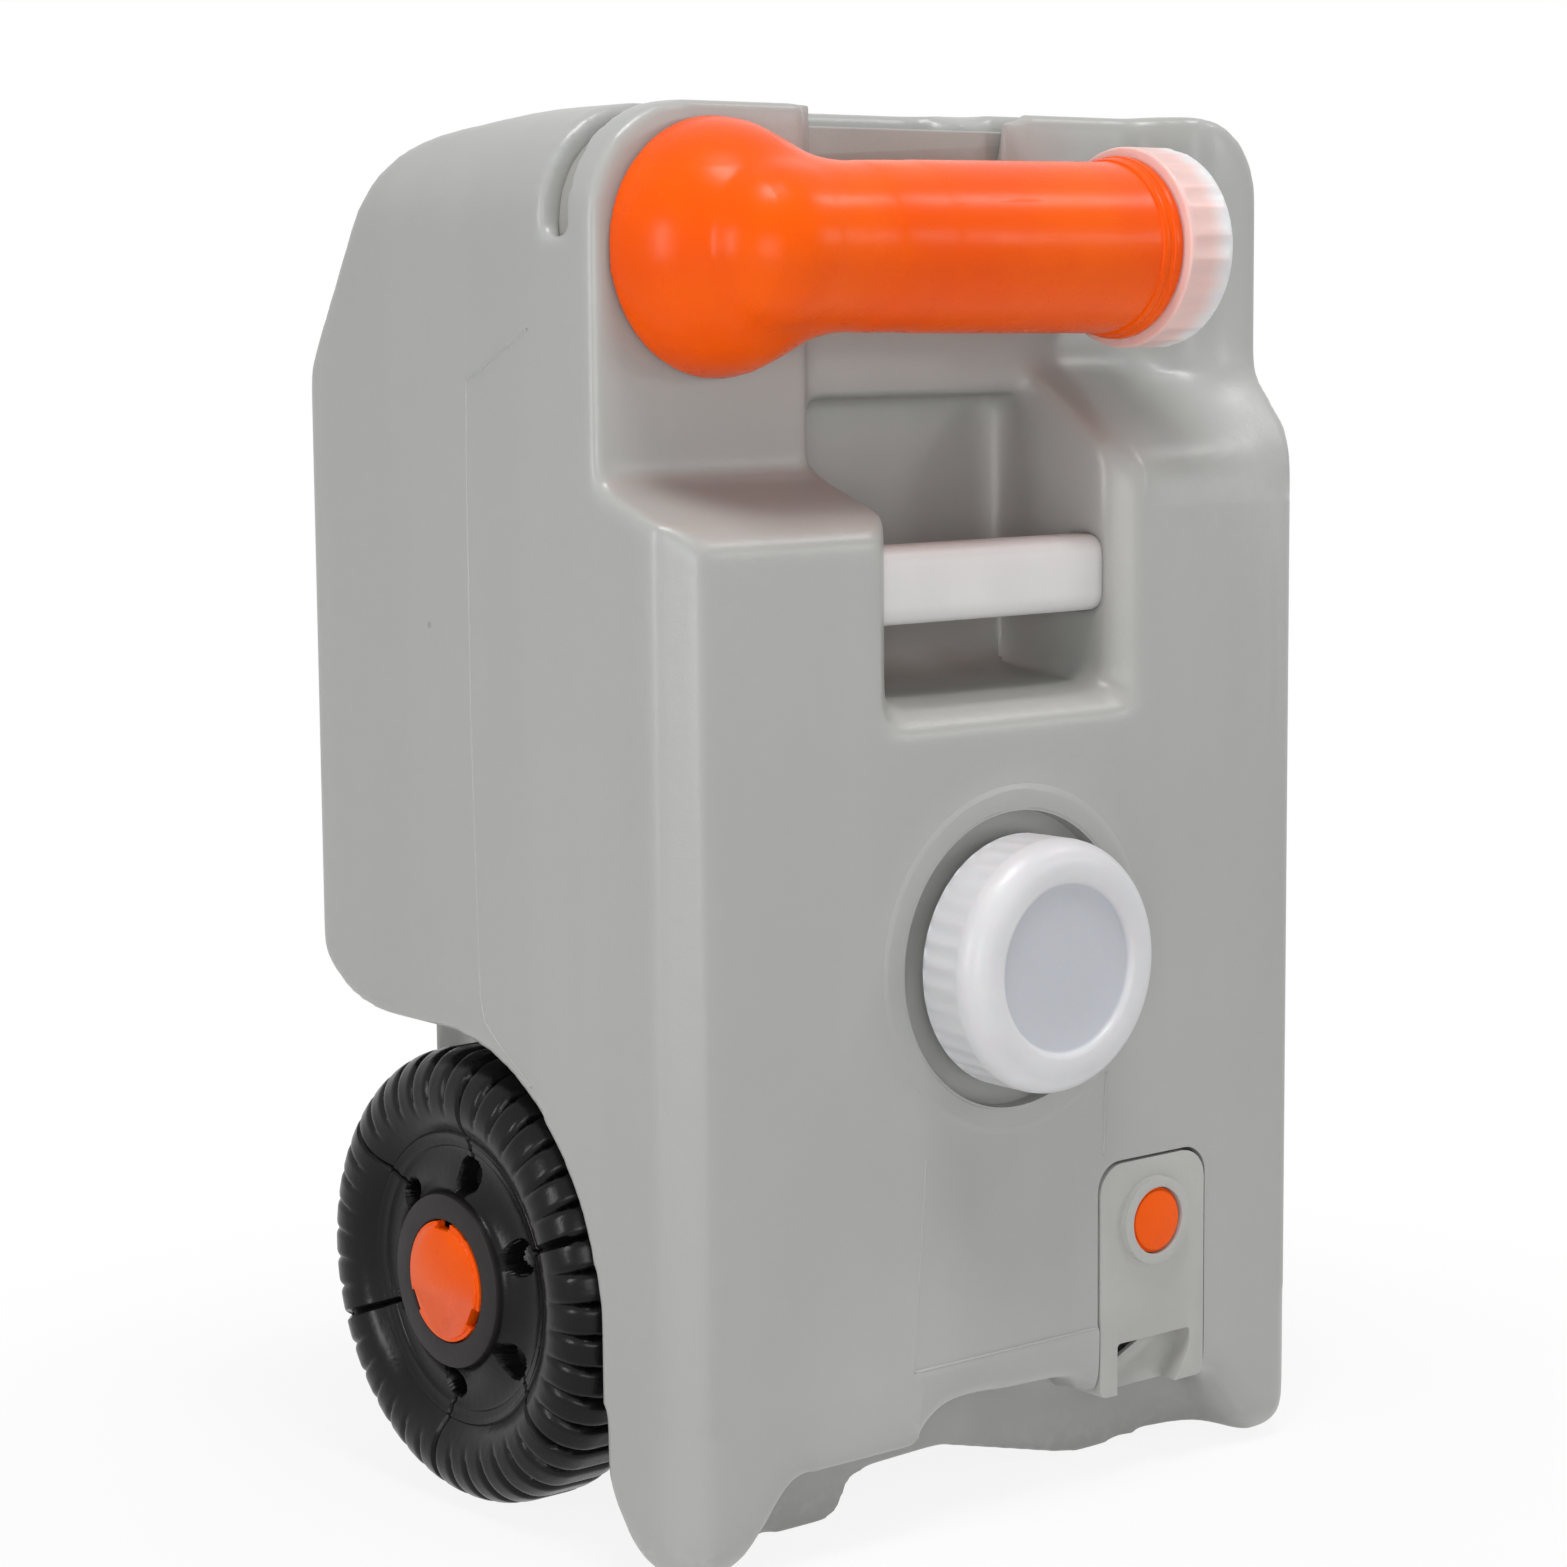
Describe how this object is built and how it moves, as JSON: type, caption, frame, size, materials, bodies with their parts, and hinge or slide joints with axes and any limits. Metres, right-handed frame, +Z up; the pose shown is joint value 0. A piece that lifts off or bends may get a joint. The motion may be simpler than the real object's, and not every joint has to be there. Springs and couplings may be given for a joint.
{
  "type": "wheeled water bowser",
  "caption": "Upright hollow water tank on wheels with a swivelling pouring spout, screw filler cap, push-button vent, grip bar and telescopic pull handle.",
  "frame": {"origin": "on the floor under the middle of the object's box", "axes": "+Z up, -Y towards the front face with the filler cap, +X to the right seen from the front"},
  "size_m": [0.3638, 0.312, 0.6],
  "materials": {
    "tank_grey": "satin moulded polyethylene",
    "cap_white": "milky natural polyethylene",
    "bar_white": "satin",
    "spout_orange": "satin gloss",
    "seal_black": "matt",
    "guide_white": "satin",
    "guide_dark": "satin",
    "cover_grey": "satin",
    "handle_grey": "satin",
    "steel": "zinc plated",
    "wheel_black": "glossy moulded"
  },
  "bodies": {
    "tank": {"tank": "tank_grey", "grip_bar": "bar_white", "vent_cover": "cover_grey", "vent_bush": "guide_white", "vent_spring": "steel", "axle": "steel", "axle_washer_left": "steel", "axle_washer_right": "steel", "axle_nut_left": "steel", "axle_nut_right": "steel", "handle_collar_left": "guide_dark", "handle_collar_right": "guide_dark"},
    "pull_handle": {"pull_handle": "handle_grey", "handle_shoe_left": "guide_white", "handle_shoe_right": "guide_white"},
    "spout": {"spout": "spout_orange", "spout_seal": "seal_black", "spout_retainer": "guide_white"},
    "spout_cap_seal": {"spout_cap_seal": "seal_black"},
    "spout_cap": {"spout_cap": "cap_white"},
    "filler_cap_seal": {"filler_cap_seal": "seal_black"},
    "filler_cap": {"filler_cap": "cap_white"},
    "vent_button": {"vent_button": "spout_orange", "vent_valve": "guide_white", "vent_seal": "seal_black"},
    "wheel_left": {"wheel_left": "wheel_black", "wheel_bush_left": "guide_white", "hub_cap_left": "spout_orange"},
    "wheel_right": {"wheel_right": "wheel_black", "wheel_bush_right": "guide_white", "hub_cap_right": "spout_orange"}
  },
  "joints": [
    {"name": "handle_pull", "type": "slide", "parent": "tank", "child": "pull_handle", "axis": [0, 0, 1], "range_m": [0, 0.28]},
    {"name": "spout_swivel", "type": "hinge", "parent": "tank", "child": "spout", "pos_m": [-0.122, -0.068, 0.541], "axis": [0, -1, 0], "range_deg": [0, 180]},
    {"name": "spout_cap_lift", "type": "slide", "parent": "spout", "child": "spout_cap_seal", "axis": [1, 0, 0], "range_m": [0, 0.02201]},
    {"name": "spout_cap_turn", "type": "hinge", "parent": "spout_cap_seal", "child": "spout_cap", "pos_m": [0.09, -0.1055, 0.541], "axis": [1, 0, 0], "range_deg": [0, 880]},
    {"name": "filler_cap_lift", "type": "slide", "parent": "tank", "child": "filler_cap_seal", "axis": [0, -1, 0], "range_m": [0, 0.03001]},
    {"name": "filler_cap_turn", "type": "hinge", "parent": "filler_cap_seal", "child": "filler_cap", "pos_m": [0, -0.146, 0.2421], "axis": [0, -1, 0], "range_deg": [0, 900]},
    {"name": "vent_press", "type": "slide", "parent": "tank", "child": "vent_button", "axis": [0, 1, 0], "range_m": [0, 0.006], "stiffness_N_per_m": 350, "springref_m": -0.004, "deforming": ["vent_spring"]},
    {"name": "wheel_left_spin", "type": "hinge", "parent": "tank", "child": "wheel_left", "pos_m": [-0.15, 0.05, 0.1], "axis": [1, 0, 0], "continuous": true},
    {"name": "wheel_right_spin", "type": "hinge", "parent": "tank", "child": "wheel_right", "pos_m": [0.15, 0.05, 0.1], "axis": [1, 0, 0], "continuous": true}
  ],
  "couplings": [
    {"joint": "spout_cap_lift", "follows": "spout_cap_turn", "m_per_rad": 0.0014324},
    {"joint": "filler_cap_lift", "follows": "filler_cap_turn", "m_per_rad": 0.0019099}
  ]
}
